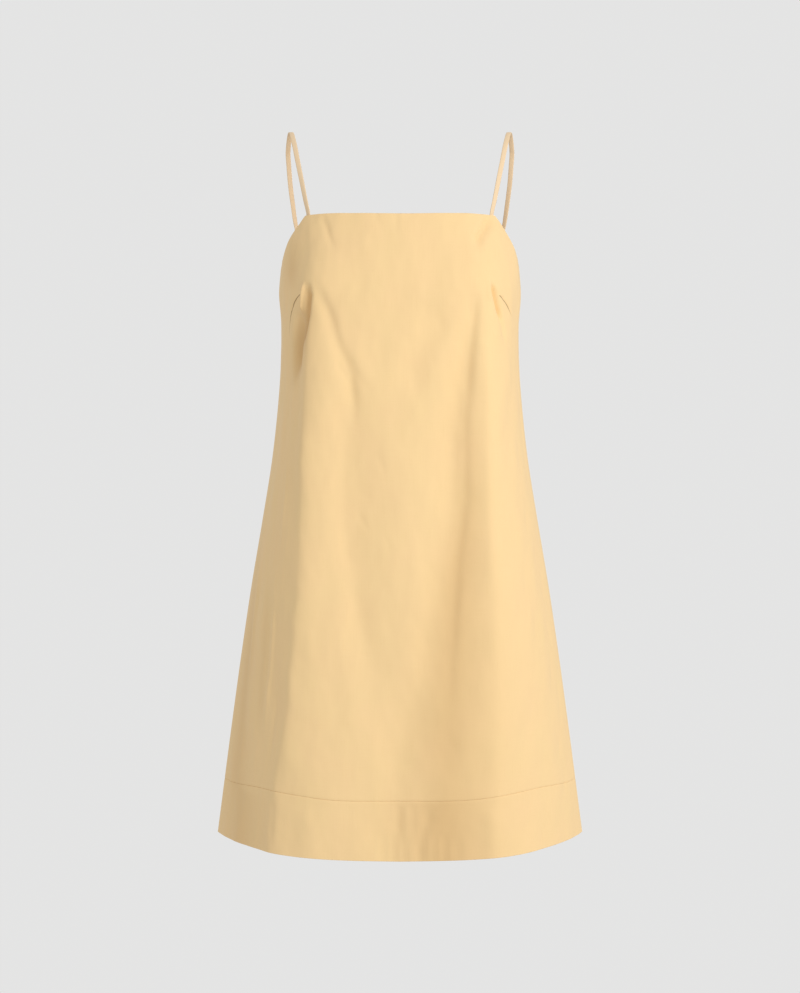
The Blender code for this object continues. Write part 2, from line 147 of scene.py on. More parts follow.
# Creases, each along a line of points: how far to the wearer's left of the centre line, and drop.
# Then come its height in the middle, and how far it spreads towards the lower and higher turns.
# Over these shares of its length, it grows from its start and fades to its end.
CREASE_GROWTH, CREASE_FADE = 0.25, 0.35
FRONT_CREASES = (
    # pocket below the dart on the wearer's right: its steep upper part, then its wide lower part
    (((-0.1044, 0.197), (-0.1032, 0.214), (-0.1060, 0.235), (-0.1094, 0.253), (-0.1125, 0.276)),
     -0.0076, 0.0056, 0.0034),
    (((-0.1125, 0.226), (-0.1172, 0.243), (-0.1202, 0.266), (-0.1216, 0.289), (-0.1220, 0.318)),
     -0.0085, 0.0090, 0.0095),
    # puff of cloth at the tip of that dart
    (((-0.1085, 0.1960), (-0.1118, 0.2110), (-0.1140, 0.2240), (-0.1160, 0.2400)), 0.0029, 0.0026, 0.0022),
    # hollow below the dart on the wearer's left, and the crease from the dart's tip
    (((0.1060, 0.200), (0.1115, 0.214), (0.1150, 0.230), (0.1200, 0.250), (0.1240, 0.275)),
     -0.0028, 0.0050, 0.0050),
    (((0.1030, 0.1960), (0.1078, 0.2110), (0.1122, 0.2260), (0.1195, 0.2480)), -0.0062, 0.0036, 0.0034),
    (((0.1020, 0.1960), (0.1010, 0.2080), (0.1010, 0.2240)), 0.0016, 0.0036, 0.0036),
    # ridge where the front turns to the side, from the strap down to the bust
    (((-0.1080, 0.1100), (-0.1060, 0.1400), (-0.1030, 0.1700), (-0.0990, 0.2000)), 0.0015, 0.0100, 0.0140),
    # drag lines from the strap corners
    (((-0.0950, 0.1130), (-0.0875, 0.1290), (-0.0825, 0.1460), (-0.0760, 0.1620)), -0.0019, 0.0044, 0.0036),
    (((0.1100, 0.1100), (0.1040, 0.1250), (0.0940, 0.1420), (0.0860, 0.1600)), -0.0050, 0.0044, 0.0060),
    # hollows along the sewn lines of the two darts
    (((-0.1140, 0.2118), (-0.1225, 0.2180), (-0.1290, 0.2260), (-0.1326, 0.2560)), -0.0012, 0.0018, 0.0018),
    (((0.1130, 0.2115), (0.1200, 0.2162), (0.1245, 0.2206), (0.1348, 0.2355)), -0.0012, 0.0018, 0.0018),
    # crease from the wearer's right bust towards the centre, with its branch and a curl beside it
    (((-0.1000, 0.1900), (-0.0900, 0.2174), (-0.0808, 0.2430), (-0.0742, 0.2684), (-0.0665, 0.2870),
      (-0.0585, 0.3090), (-0.0535, 0.3420), (-0.0520, 0.3900)), -0.0030, 0.0080, 0.0070),
    (((-0.0620, 0.2850), (-0.0500, 0.3080), (-0.0340, 0.3300)), -0.0006, 0.0050, 0.0040),
    (((-0.0745, 0.2920), (-0.0690, 0.3040), (-0.0590, 0.3160)), -0.0008, 0.0030, 0.0030),
    # faint crease from the wearer's left bust towards the centre
    (((0.0620, 0.2260), (0.0400, 0.2560), (0.0260, 0.2760), (0.0180, 0.3050), (0.0130, 0.3450)),
     -0.0032, 0.0220, 0.0150),
    # sharp upper end of the valley beside the flute below the left bust
    (((0.0880, 0.2050), (0.0865, 0.2340), (0.0835, 0.2680), (0.0810, 0.3000), (0.0790, 0.3500)),
     -0.0032, 0.0110, 0.0050),
    # narrow bottom of the valley beside the flute below the left bust
    (((0.0880, 0.2150), (0.0850, 0.2420), (0.0810, 0.2780), (0.0780, 0.3150), (0.0750, 0.3600),
      (0.0745, 0.4540), (0.0690, 0.5000), (0.0650, 0.5470), (0.0610, 0.5930), (0.0560, 0.6860),
      (0.0500, 0.7700)), -0.0026, 0.0180, 0.0060),
    # small lines in the valley near the centre
    (((-0.0270, 0.4020), (-0.0210, 0.4130), (-0.0180, 0.4280)), -0.0006, 0.0024, 0.0024),
    (((-0.0500, 0.4690), (-0.0420, 0.4800), (-0.0350, 0.4940)), -0.0007, 0.0028, 0.0028),
    (((-0.0180, 0.4920), (-0.0140, 0.5050), (-0.0120, 0.5180)), -0.0005, 0.0024, 0.0024),
    (((0.0180, 0.3120), (0.0200, 0.3300), (0.0170, 0.3480)), -0.0007, 0.0060, 0.0060),
    # puckers below the neckline
    (((-0.0290, 0.1120), (-0.0270, 0.1230), (-0.0190, 0.1360)), -0.0006, 0.0030, 0.0024),
    (((-0.0060, 0.1120), (-0.0040, 0.1250), (-0.0030, 0.1450)), -0.0006, 0.0026, 0.0024),
    (((0.0010, 0.1120), (0.0030, 0.1260)), 0.0005, 0.0024, 0.0024),
    # upright streaks on the wearer's right side of the skirt
    (((-0.1700, 0.5300), (-0.1730, 0.5700), (-0.1780, 0.6200), (-0.1840, 0.6800)), 0.0018, 0.0050, 0.0040),
    (((-0.1480, 0.5600), (-0.1500, 0.6100), (-0.1530, 0.6600), (-0.1600, 0.7300)), 0.0016, 0.0040, 0.0036),
    (((-0.1330, 0.4000), (-0.1350, 0.4500), (-0.1400, 0.5200)), 0.0010, 0.0040, 0.0040),
    (((-0.1420, 0.6700), (-0.1470, 0.7200), (-0.1530, 0.7800)), -0.0010, 0.0040, 0.0040),
)

# The sewn lines of the two darts, as three points each
DART_SEAMS = (
    ((-0.1138, 0.2114), (-0.1285, 0.2253), (-0.1332, 0.2600)),
    ((0.1150, 0.2128), (0.1245, 0.2206), (0.1348, 0.2355)),
)

# How wide the painted shadow along their sewn lines is, and the share of its drop over which it fades
# towards its lower end
DART_SHADOW_WIDTH, DART_SHADOW_FADE = 0.0009, 0.5

# Creases of the back, each the like of one in front
BACK_CREASES = (
    (((0.0980, 0.1420), (0.0900, 0.1600), (0.0800, 0.1820)), -0.0020, 0.0050, 0.0060),
    (((-0.1000, 0.1420), (-0.0920, 0.1580), (-0.0830, 0.1780)), -0.0018, 0.0050, 0.0050),
    (((0.0900, 0.2400), (0.0760, 0.2900), (0.0640, 0.3500), (0.0560, 0.4300)), -0.0030, 0.0120, 0.0140),
    (((-0.0860, 0.2500), (-0.0740, 0.3100), (-0.0660, 0.3800), (-0.0620, 0.4800), (-0.0500, 0.6200)),
     -0.0034, 0.0120, 0.0160),
    (((0.0700, 0.4300), (0.0620, 0.5400), (0.0440, 0.6600), (0.0300, 0.7800)), -0.0030, 0.0140, 0.0160),
    (((0.0100, 0.3300), (0.0160, 0.4600), (0.0120, 0.6000)), 0.0026, 0.0200, 0.0200),
    (((-0.1450, 0.4200), (-0.1560, 0.5400), (-0.1700, 0.6800)), 0.0016, 0.0060, 0.0060),
    (((0.1500, 0.4800), (0.1640, 0.6200), (0.1760, 0.7400)), 0.0016, 0.0060, 0.0060),
)

# Creases of the front hem band, which hangs a little stiffer than the skirt. They start at its seam.
BAND_CREASES = (
    (((-0.1020, 0.7985), (-0.1010, 0.8300), (-0.1010, 0.9200)), 0.0024, 0.0160, 0.0200),
    (((0.0990, 0.7985), (0.1010, 0.8300), (0.1030, 0.9200)), 0.0020, 0.0090, 0.0160),
    (((0.0320, 0.7985), (0.0330, 0.8100), (0.0300, 0.8250), (0.0230, 0.8500), (0.0200, 0.8900)),
     -0.0020, 0.0050, 0.0060),
    (((0.0070, 0.7990), (0.0075, 0.8200), (0.0065, 0.8600)), 0.0016, 0.0024, 0.0028),
    (((-0.0020, 0.7990), (-0.0015, 0.8150), (-0.0040, 0.8400)), -0.0012, 0.0030, 0.0030),
    (((0.0140, 0.7990), (0.0150, 0.8150), (0.0160, 0.8400)), -0.0010, 0.0026, 0.0026),
    (((-0.1440, 0.7980), (-0.1440, 0.8250), (-0.1470, 0.8600)), -0.0010, 0.0040, 0.0040),
    (((-0.0180, 0.8300), (-0.0190, 0.8600), (-0.0190, 0.9000)), -0.0010, 0.0026, 0.0026),
    (((-0.0060, 0.8280), (-0.0070, 0.8580), (-0.0070, 0.9000)), -0.0012, 0.0026, 0.0026),
    (((0.0060, 0.8320), (0.0050, 0.8600), (0.0050, 0.9000)), -0.0011, 0.0026, 0.0026),
    (((0.0400, 0.8280), (0.0390, 0.8580), (0.0390, 0.9000)), -0.0011, 0.0026, 0.0026),
    (((0.0520, 0.8320), (0.0510, 0.8620), (0.0510, 0.9000)), -0.0012, 0.0030, 0.0026),
    (((0.0660, 0.8340), (0.0660, 0.8640), (0.0660, 0.9000)), -0.0009, 0.0026, 0.0026),
)

# Painted shade: places where the cotton's colour is darkened to stand in for shade in the dart pocket, the
# valleys and on the far side, as folds are described. The height is the share of the painted shade.
FRONT_PAINTED_SHADE = (
    (0.003, ((0.193, -0.1065, 0.0, 0.006, 0.003), (0.212, -0.1060, 0.40, 0.0045, 0.004),
             (0.235, -0.1105, 0.55, 0.009, 0.009), (0.262, -0.1158, 0.98, 0.013, 0.010),
             (0.289, -0.1205, 0.70, 0.012, 0.009), (0.325, -0.1245, 0.0, 0.010, 0.007))),
    (0.006, ((0.270, 0.085, 0.0, 0.014, 0.006), (0.340, 0.080, 0.12, 0.014, 0.010),
             (0.450, 0.079, 0.30, 0.012, 0.014), (0.547, 0.067, 0.52, 0.018, 0.022),
             (0.639, 0.060, 0.50, 0.026, 0.034), (0.732, 0.054, 0.48, 0.030, 0.044),
             (0.798, 0.056, 0.44, 0.036, 0.046), (0.802, 0.052, 0.60, 0.044, 0.044),
             (0.870, 0.052, 0.60, 0.044, 0.044))),
    (0.003, ((0.460, -0.1640, 0.0, 0.010, 0.008), (0.560, -0.1770, 0.22, 0.014, 0.012),
             (0.640, -0.1840, 0.36, 0.020, 0.013), (0.740, -0.1930, 0.36, 0.026, 0.016),
             (0.798, -0.1970, 0.36, 0.030, 0.022), (0.806, -0.1930, 0.38, 0.036, 0.032),
             (0.870, -0.1930, 0.38, 0.036, 0.032))),
    (0.003, ((0.540, -0.1560, 0.0, 0.006, 0.006), (0.600, -0.1590, 0.18, 0.006, 0.006),
             (0.680, -0.1640, 0.18, 0.006, 0.006), (0.740, -0.1680, 0.0, 0.006, 0.006))),
    (0.004, ((0.135, -0.1270, 0.0, 0.016, 0.010), (0.160, -0.1280, 0.26, 0.018, 0.012),
             (0.180, -0.1280, 0.34, 0.018, 0.010), (0.207, -0.1270, 0.0, 0.016, 0.008))),
)

# How full a fold stays beside its crest, before its sides run out
FOLD_FULLNESS = 1.3

# The mesh: columns by their turn and rows by their share of the way down, with the places where they
# crowd together, as middle, spread and strength
FRONT_COLUMNS, BACK_COLUMNS = 240, 190
FRONT_ROWS, BACK_ROWS, BAND_ROWS = 204, 170, 44
FRONT_COLUMN_CROWDS = (
    (-49.0, 9.0, 2.0), (49.0, 9.0, 1.6), (-24.0, 9.0, 0.5), (-90.0, 0.5, 14.0), (90.0, 0.5, 14.0),
)
BACK_COLUMN_CROWDS = ((90.0, 0.5, 14.0), (270.0, 0.5, 14.0))
PANEL_RIM_CROWDS = ((0.0, 0.0012, 40.0), (1.0, 0.0012, 40.0))
BAND_RIM_CROWDS = ((0.0, 0.012, 12.0), (1.0, 0.012, 12.0))
BUST_CROWD = (0.160, 0.035, 1.8)
SPACING_STEPS, ARC_STEPS = 4000, 90

# Straps: flat tubes of the same cloth. The route is that of the wearer's left strap: x, y, z, and the
# angle in degrees from +X, seen from above, along which its width lies.
STRAP_WIDTH, STRAP_THICKNESS = 0.0060, 0.0018
STRAP_SEWN_LENGTH, STRAP_SEWN_GAP = 0.014, 0.0007
STRAP_SEWN_INSET = CLOTH_THICKNESS + STRAP_SEWN_GAP + STRAP_THICKNESS / 2
STRAP_FRONT_TURN, STRAP_BACK_TURN = 57.0, 118.6
SEWN_FRONT_ANGLE, SEWN_BACK_ANGLE = 45.0, -48.0
STRAP_ROUTE = (
    (0.1140, -0.0545, -0.0930, 36.0), (0.1188, -0.0500, -0.0690, 26.0),
    (0.1240, -0.0420, -0.0440, 16.0), (0.1297, -0.0260, -0.0172, 6.0),
    (0.1358, 0.0010, 0.0009, 0.0), (0.1407, 0.0270, -0.0164, -4.0),
    (0.1404, 0.0365, -0.0333, -8.0), (0.1390, 0.0440, -0.0554, -16.0),
    (0.1363, 0.0485, -0.0783, -26.0), (0.1322, 0.0512, -0.1064, -38.0),
)

# How finely a strap's mesh is cut along and around it. The powers square off its outline: 1 leaves it
# round, and less makes it flatter.
STRAP_STEPS, STRAP_SIDES = 170, 20
STRAP_EDGE_POWER, STRAP_FACE_POWER = 0.55, 0.75
STRAP_SHARP_ANGLE = math.radians(60.0)

# Sizes of the cotton's threads, of its slubs and of its clouds of tone
THREAD_ALONG, THREAD_DOWN = 0.00030, 0.00033
SLUB_WIDTH, WARP_SLUB_LENGTH, WEFT_SLUB_LENGTH = 0.0009, 0.030, 0.026
CLOUD_ALONG, CLOUD_DOWN, CLOUD_DETAIL = 0.045, 0.060, 3.0

# The share of each set of threads in the slubs, and how far slubs and threads change the tone, the
# roughness and the height of the cloth
WARP_SHARE, WEFT_SHARE = 0.6, 0.4
SLUB_TONE, SLUB_ROUGHNESS, SLUB_HEIGHT = 0.8, 0.2, 0.09
THREAD_HEIGHT, BUMP_REACH, BUMP_STRENGTH = 0.012, 0.001, 0.6
LEAST_ROUGHNESS = 0.72

# Tones of the cotton: peach, straw and deep. Then the tone of the painted shade in hollows and on the far
# side, and the tone of the painted shadow along the dart lines.
BUTTER_TONES = ((0.900, 0.632, 0.330, 1.0), (0.880, 0.640, 0.322, 1.0), (0.800, 0.548, 0.262, 1.0))
STRAP_TONES = ((0.820, 0.614, 0.398, 1.0), (0.812, 0.616, 0.392, 1.0), (0.700, 0.502, 0.300, 1.0))
PAINTED_SHADE_TONE, PAINTED_SHADE_SHARE = (0.640, 0.400, 0.170, 1.0), 0.9
DART_SHADOW_TONE = (0.260, 0.150, 0.060, 1.0)

# The studio: camera, soft lights, and pale surroundings
CAMERA_PLACE, CAMERA_LENS, SENSOR_WIDTH = (0.0, -1.95, -0.450), 57.0, 36.0
LIGHT_TARGET, LIGHT_DISTANCE = Vector((0.0, 0.0, -0.45)), 2.6
PALE, SURROUND_STRENGTH = (0.778, 0.778, 0.775, 1.0), 0.68
FLOOR_REACH, FLOOR_DROP = 9, 1.3


def smooth_table(rows, at):
    """The columns of a table between its rows, on smooth curves. The first column has the knots."""
    rows = np.array(rows, float)
    knots, values = rows[:, 0], rows[:, 1:]
    before = np.maximum(np.arange(len(rows)) - 1, 0)
    after = np.minimum(np.arange(len(rows)) + 1, len(rows) - 1)
    slopes = (values[after] - values[before]) / (knots[after] - knots[before])[:, None]
    index = np.clip(np.searchsorted(knots, at, side="right") - 1, 0, len(rows) - 2)
    step = (knots[index + 1] - knots[index])[..., None]
    share = (np.asarray(at)[..., None] - knots[index][..., None]) / step
    blended = (
        values[index] * (1 + 2 * share) * (1 - share) ** 2
        + values[index + 1] * (3 - 2 * share) * share ** 2
        + step * slopes[index] * share * (1 - share) ** 2
        - step * slopes[index + 1] * share ** 2 * (1 - share)
    )
    return np.moveaxis(blended, -1, 0)


def ease(share):
    """A share from 0 to 1 that starts and ends gently."""
    share = np.clip(share, 0.0, 1.0)
    return share * share * (3.0 - 2.0 * share)


def bell(distance, spread):
    """A soft hump, 1 high at distance 0."""
    return np.exp(-((distance / spread) ** 2))


def turn_between(turn, other):
    """The turn from another turn to this one, the short way round."""
    return (turn - other + 180.0) % 360.0 - 180.0


def body_surface(turn, drop):
    """Points on the smooth body of the dress, and the level directions that face outward there."""
    half_width, front_depth, back_depth, front_power, side_power = smooth_table(LEVELS, drop)
    depth = np.where(np.abs(turn) <= SIDE_TURN, -front_depth, back_depth)
    across = np.sin(np.radians(turn))
    along = np.maximum(0.0, 1.0 - np.abs(across) ** front_power) ** (1.0 / side_power)
    sideways = front_power * np.abs(across) ** (front_power - 1.0) / half_width
    forwards = side_power * along ** (side_power - 1.0) / np.abs(depth)
    length = np.hypot(sideways, forwards)
    points = np.stack([half_width * across, depth * along, -drop], -1)
    outward = np.stack(
        [np.sign(across) * sideways / length, np.sign(depth) * forwards / length, 0.0 * drop], -1
    )
    return points, outward


def arc_at(across, drop, facing):
    """The length of cloth from the centre line to a place across the front or the back."""
    half_width = smooth_table(LEVELS, drop)[0]
    widest = math.degrees(math.asin(across / half_width))
    centre, end = (0.0, widest) if facing < 0 else (180.0, 180.0 - widest)
    points, _ = body_surface(np.linspace(centre, end, ARC_STEPS), np.full(ARC_STEPS, drop))
    length = np.linalg.norm(np.diff(points, axis=0), axis=1).sum()
    return math.copysign(length, -across * facing)


def fold_rise(fold, across, arc, drop, facing):
    """How far one fold moves the cloth out."""
    rounding, stations = fold
    inside = np.clip(drop, stations[0][0], stations[-1][0])
    crest, height, low, high = smooth_table(stations, inside)
    # the turns of the back run from the wearer's left to the right, so its rows are read backwards
    order = slice(None) if facing < 0 else slice(None, None, -1)
    middle = np.stack([np.interp(*row) for row in zip(crest, across[:, order], arc[:, order])])
    away = arc - middle
    fall = (np.hypot(away, rounding) - rounding) / np.where(away < 0, low, high)
    return height * np.exp(-fall ** FOLD_FULLNESS)


def crease_rise(crease, arc, drop, facing):
    """How far one crease moves the cloth out. It comes to nothing at its two ends."""
    line, height, low, high = crease
    line = np.array([(arc_at(across, fall, facing), fall) for across, fall in line])
    lengths = np.concatenate([[0.0], np.cumsum(np.linalg.norm(np.diff(line, axis=0), axis=1))])
    nearest = np.full(arc.shape, np.inf)
    side, place = np.zeros(arc.shape), np.zeros(arc.shape)
    for start, end, before in zip(line, line[1:], lengths):
        run = end - start
        sideways, down = arc - start[0], drop - start[1]
        share = np.clip((sideways * run[0] + down * run[1]) / (run @ run), 0.0, 1.0)
        gap = np.hypot(sideways - share * run[0], down - share * run[1])
        closer = gap < nearest
        nearest = np.where(closer, gap, nearest)
        side = np.where(closer, np.sign(sideways * run[1] - down * run[0]), side)
        place = np.where(closer, before + share * np.linalg.norm(run), place)
    share = place / lengths[-1]
    strength = ease(share / CREASE_GROWTH) * ease((1.0 - share) / CREASE_FADE)
    return height * strength * bell(nearest, np.where(side < 0, low, high))


def cup_rise(turn, drop):
    """How far the cups at the bust move the cloth out."""
    return sum(height * bell(turn_between(turn, at), wide) * bell(drop - fall, tall)
               for at, fall, height, wide, tall in CUPS)


def crumple_rise(arc, drop, facing):
    """How far the soft crumples move the cloth in and out."""
    rise = 0.0 * arc
    for height, wide, tall in CRUMPLES:
        layer = 0.0 * arc + SIDE_LAYER * facing + SIZE_LAYER * wide
        places = np.stack([arc / wide, drop / tall, layer], -1)
        waves = [noise.noise(Vector(place)) for place in places.reshape(-1, 3)]
        rise += height * np.array(waves).reshape(arc.shape)
    return rise


def top_edge(turn):
    """The drop of the dress's top edge: neckline, armhole, or the top of the back."""
    around = np.abs(turn_between(turn, 0.0))

    def armhole(corner_drop, corner_turn):
        share = np.clip((around - corner_turn) / (SIDE_TURN - corner_turn), 0.0, 1.0)
        levelling = ARMHOLE_LEVELLING * share ** ARMHOLE_LEVELLING_POWER
        return corner_drop + (UNDERARM_DROP - corner_drop) * ((1.0 + ARMHOLE_LEVELLING) * share - levelling)

    front = NECK_CORNER_DROP + NECK_DIP * (1.0 - ease(around / NECK_CORNER_TURN))
    back = BACK_CORNER_DROP + BACK_DIP * ease((around - BACK_CORNER_TURN) / (180.0 - BACK_CORNER_TURN))
    return np.select(
        [around <= NECK_CORNER_TURN, around <= SIDE_TURN, around <= BACK_CORNER_TURN],
        [front, armhole(NECK_CORNER_DROP, NECK_CORNER_TURN), armhole(BACK_CORNER_DROP, BACK_CORNER_TURN)],
        back,
    )


def hem_lines(turn):
    """The drops of the hem seam and of the hem."""
    around = np.abs(turn_between(turn, 0.0))
    return smooth_table(HEM_LINES, np.minimum(around, 180.0 - around))


def spaced(start, end, count, crowds):
    """Places from start to end, closer together round each crowd: its middle, spread and strength."""
    fine = np.linspace(start, end, SPACING_STEPS)
    density = np.ones_like(fine)
    for middle, spread, strength in crowds:
        density += strength * bell(fine - middle, spread)
    total = np.concatenate([[0.0], np.cumsum((density[1:] + density[:-1]) / 2)])
    return np.interp(np.linspace(0.0, total[-1], count + 1), total, fine)


def edge_rounding(distance, reach):
    """How far the cloth's outer face has rolled in, at a distance from an edge that rolls over a reach."""
    inside = np.clip(1.0 - distance / reach, 0.0, 1.0)
    return CLOTH_THICKNESS / 2 * (1.0 - np.sqrt(1.0 - inside ** 2))


def new_mesh(name, points, faces, marks):
    """A smooth mesh with numbers for its material at each point."""
    mesh = bpy.data.meshes.new(name)
    mesh.from_pydata(points, [], faces)
    for mark, values in marks.items():
        attribute = mesh.attributes.new(mark, "FLOAT", "POINT")
        attribute.data.foreach_set("value", values.astype(np.float32))
    mesh.shade_smooth()
    return mesh


def cloth_mesh(name, outer, inner, marks):
    """A closed mesh from two grids of points that share their rim, with marks for the material."""
    rows, columns = outer.shape[:2]
    number = np.arange(rows * columns).reshape(rows, columns)
    behind = number.copy()
    behind[1:-1, 1:-1] = rows * columns + np.arange((rows - 2) * (columns - 2)).reshape(rows - 2, -1)

    def quads(grid):
        corners = (grid[:-1, :-1], grid[1:, :-1], grid[1:, 1:], grid[:-1, 1:])
        return np.stack([corner.ravel() for corner in corners], -1)

    points = np.concatenate([outer.reshape(-1, 3), inner[1:-1, 1:-1].reshape(-1, 3)])
    faces = np.concatenate([quads(number), quads(behind)[:, ::-1]])
    both = {mark: np.concatenate([values.reshape(-1), values[1:-1, 1:-1].reshape(-1)])
            for mark, values in marks.items()}
    return new_mesh(name, points.tolist(), faces.tolist(), both)


def show(name, mesh, material):
    """A piece of the dress in the scene, with its cotton, in place of the solid of that name."""
    piece = bpy.data.objects.new(name + "_cloth", mesh)
    bpy.context.scene.collection.objects.link(piece)
    mesh.materials.append(material)
    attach(piece, "root")
    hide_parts(name)
    return piece


def lengths_across(ground, turns):
    """The length of cloth from the centre line to each point, along its row."""
    steps = np.linalg.norm(np.diff(ground, axis=1), axis=2)
    arc = np.concatenate([np.zeros((len(ground), 1)), np.cumsum(steps, axis=1)], axis=1)
    centre = (turns[0] + turns[-1]) / 2
    return arc - np.array([np.interp(centre, turns, row) for row in arc])[:, None]


def cloth_piece(name, turns, shares, upper, lower, folds, creases, tones, material, rolls):
    """A panel or band of cloth, hung on the body with its folds and creases, and its tones of painted
    shade.

    Its rolls are how far its top edge and its bottom edge take to roll in.
    """
    facing = -1.0 if turns[0] < 0.0 else 1.0
    turn = np.tile(turns, (len(shares), 1))
    top, bottom = upper(turn), lower(turn)
    drop = top + (bottom - top) * shares[:, None]
    ground, outward = body_surface(turn, drop)
    arc = lengths_across(ground, turns)
    to_side = np.minimum(arc - arc[:, :1], arc[:, -1:] - arc)

    rise = cup_rise(turn, drop)
    rise += sum(fold_rise(fold, ground[..., 0], arc, drop, facing) for fold in folds)
    rise += sum(crease_rise(crease, arc, drop, facing) for crease in creases)
    rise += crumple_rise(arc, drop, facing) * ease(to_side / CRUMPLE_FADE)
    rise -= GROOVE_DEPTH * bell(drop - hem_lines(turn)[0], GROOVE_SPREAD)
    rise -= GROOVE_DEPTH * bell(to_side, GROOVE_SPREAD)
    # painted shade: patches that darken the colour, laid out like folds
    tone = sum((fold_rise(patch, ground[..., 0], arc, drop, facing) for patch in tones), 0.0 * rise)
    lift = HEM_LIFT * rise * np.clip((drop - WAIST_DROP) / (LOWEST_DROP - WAIST_DROP), 0.0, 1.0)
    ground = ground + np.stack([0.0 * lift, 0.0 * lift, lift], -1)

    rolled = np.maximum.reduce([
        edge_rounding(to_side, SEAM_GAP),
        edge_rounding(drop - top, rolls[0]),
        edge_rounding(bottom - drop, rolls[1]),
    ])
    ground = ground + np.array([0.0, facing * SEAM_GAP / 2, 0.0])
    outer = ground + outward * (rise - rolled)[..., None]
    inner = ground + outward * (rise - CLOTH_THICKNESS + rolled)[..., None]
    # the deep mark carries the painted shade to the material
    marks = {"along": arc, "down": drop, "deep": tone}
    mesh = cloth_mesh(name, outer, inner, marks)
    return show(name, mesh, material)


class Value:
    """A number that changes over the cloth. Sums with it add nodes to its material."""

    def __init__(self, finish, socket):
        self.finish, self.socket = finish, socket

    def maths(self, operation, first, second=0.0):
        return self.finish.node("ShaderNodeMath", {"operation": operation}, {0: first, 1: second})

    def __add__(self, other):
        return self.maths("ADD", self, other)

    def __sub__(self, other):
        return self.maths("SUBTRACT", self, other)

    def __rsub__(self, other):
        return self.maths("SUBTRACT", other, self)

    def __mul__(self, other):
        return self.maths("MULTIPLY", self, other)

    def __gt__(self, other):
        return self.maths("GREATER_THAN", self, other)

    def __lt__(self, other):
        return self.maths("LESS_THAN", self, other)

    def __abs__(self):
        return self.maths("ABSOLUTE", self)

    def sine(self):
        return self.maths("SINE", self)

    def root(self):
        return self.maths("SQRT", self)

    def at_least(self, lowest):
        return self.maths("MAXIMUM", self, lowest)

    __radd__ = __add__
    __rmul__ = __mul__


class Finish:
    """A material of the dress, and the nodes that make it."""

    def __init__(self, name):
        self.material = bpy.data.materials.new(name)
        self.material.use_nodes = True
        self.tree = self.material.node_tree
        self.shader = self.tree.nodes["Principled BSDF"]

    def node(self, kind, settings, inputs, output=0):
        """A new node's output: its settings are made first, then its inputs are set or linked."""
        node = self.tree.nodes.new(kind)
        for setting, value in settings.items():
            setattr(node, setting, value)
        for place, value in inputs.items():
            self.feed(node.inputs[place], value)
        return Value(self, node.outputs[output])

    def feed(self, socket, value):
        """Set a socket to a plain value, or link it to a node's output."""
        if isinstance(value, Value):
            self.tree.links.new(value.socket, socket)
        else:
            socket.default_value = value

    def mark(self, name):
        """A number that the mesh carries."""
        return self.node("ShaderNodeAttribute", {"attribute_name": name}, {}, "Fac")

    def spots(self, across, down, detail=2.0):
        """Soft noise, one spot for each unit of across and of down."""
        place = self.node("ShaderNodeCombineXYZ", {}, {0: across, 1: down})
        return self.node("ShaderNodeTexNoise", {"noise_dimensions": "2D"},
                         {"Vector": place, "Scale": 1.0, "Detail": detail})

    def blend(self, share, first, second):
        """One colour turning into another as the share goes from 0 to 1.

        The colours of a mix node are its inputs 6 and 7 and its output 2.
        """
        return self.node("ShaderNodeMix", {"data_type": "RGBA"}, {0: share, 6: first, 7: second}, 2)


def circle_through(points):
    """The middle and the radius of the circle through three points on the flat cloth of the front."""
    first, second, third = (complex(arc_at(across, drop, -1.0), drop) for across, drop in points)
    share = (third - first) / (second - first)
    middle = first + (second - first) * (share - abs(share) ** 2) / (2j * share.imag)
    return middle.real, middle.imag, abs(first - middle)


def dart_seam_shadow(along, down, points):
    """Where the painted shadow of a dart's sewn line lies: 1 on that line, fading towards its lower end,
    and 0 away from it.
    """
    middle_along, middle_down, radius = circle_through(points)
    (start_across, start_drop), _, (_, end_drop) = points
    sideways, downwards = along - middle_along, down - middle_down
    distance = abs((sideways * sideways + downwards * downwards).root() - radius)
    within = (down > start_drop) * (down < end_drop)
    outward = along * math.copysign(1.0, start_across)
    beyond_start = outward > arc_at(abs(start_across), start_drop, -1.0)
    left_over = (end_drop - down) * (1 / (end_drop - start_drop))
    fading = 1.0 - (1.0 - left_over * (1 / DART_SHADOW_FADE)).at_least(0.0)
    return (1.0 - distance * (1 / DART_SHADOW_WIDTH)).at_least(0.0) * within * beyond_start * fading


